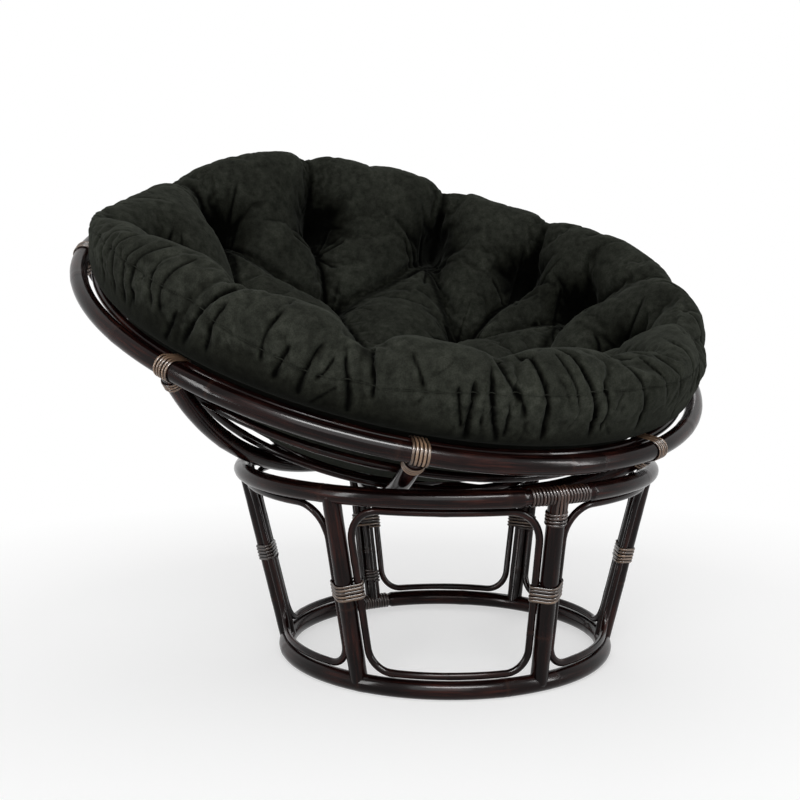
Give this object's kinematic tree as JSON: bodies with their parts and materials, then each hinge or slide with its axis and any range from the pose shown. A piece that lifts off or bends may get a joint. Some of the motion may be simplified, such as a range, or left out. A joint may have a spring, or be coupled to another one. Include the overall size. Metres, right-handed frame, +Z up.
{
  "type": "papasan chair",
  "caption": "Round bowl chair: a tufted suede cushion lies in a bowl of bent rattan ribs, which tilts on a drum-shaped base of lashed poles.",
  "frame": {"origin": "centre of the bounding box on the floor", "axes": "+Z up, the low front edge of the tilted bowl towards -Y, +X to the sitter's left"},
  "size_m": [1.066, 1.01, 0.8456],
  "materials": {
    "lacquered_rattan": "gloss",
    "peel": "satin",
    "suede": "matte"
  },
  "bodies": {
    "base": {"base_top_ring": "lacquered_rattan", "base_bottom_ring": "lacquered_rattan", "leg_1": "lacquered_rattan", "leg_2": "lacquered_rattan", "leg_3": "lacquered_rattan", "leg_4": "lacquered_rattan", "leg_5": "lacquered_rattan", "leg_6": "lacquered_rattan", "bay_hoop_1": "lacquered_rattan", "bay_hoop_2": "lacquered_rattan", "bay_hoop_3": "lacquered_rattan", "bay_hoop_4": "lacquered_rattan", "bay_hoop_5": "lacquered_rattan", "bay_hoop_6": "lacquered_rattan", "leg_lashing_1": "peel", "leg_lashing_2": "peel", "leg_lashing_3": "peel", "leg_lashing_4": "peel", "leg_lashing_5": "peel", "leg_lashing_6": "peel", "top_ring_lashing": "peel", "bottom_ring_lashing": "peel", "leg_head_lashing": "peel", "leg_foot_lashing": "peel"},
    "bowl": {"rim_hoop": "lacquered_rattan", "inner_rim_hoop": "lacquered_rattan", "hub_ring": "lacquered_rattan", "bowl_hoop_1": "lacquered_rattan", "bowl_hoop_2": "lacquered_rattan", "bowl_hoop_3": "lacquered_rattan", "rib_1": "lacquered_rattan", "rib_2": "lacquered_rattan", "rib_3": "lacquered_rattan", "rib_4": "lacquered_rattan", "rib_5": "lacquered_rattan", "rib_6": "lacquered_rattan", "rib_7": "lacquered_rattan", "rib_8": "lacquered_rattan", "rim_lashing_1": "peel", "rim_lashing_2": "peel", "rim_lashing_3": "peel", "rim_lashing_4": "peel", "rim_lashing_5": "peel", "rim_lashing_6": "peel", "rim_lashing_7": "peel", "rim_lashing_8": "peel", "neck_lashing_1": "peel", "neck_lashing_2": "peel", "neck_lashing_3": "peel", "neck_lashing_4": "peel", "neck_lashing_5": "peel", "neck_lashing_6": "peel", "neck_lashing_7": "peel", "neck_lashing_8": "peel"},
    "cushion": {"cushion": "suede"}
  },
  "joints": [
    {"name": "bowl_tilt", "type": "hinge", "parent": "base", "child": "bowl", "pos_m": [0, -0.12846, 0.88474], "axis": [1, 0, 0], "range_deg": [-44, 0]},
    {"name": "cushion_lift", "type": "slide", "parent": "bowl", "child": "cushion", "axis": [0, -0.3762, 0.9265], "range_m": [0, 0.3]}
  ]
}
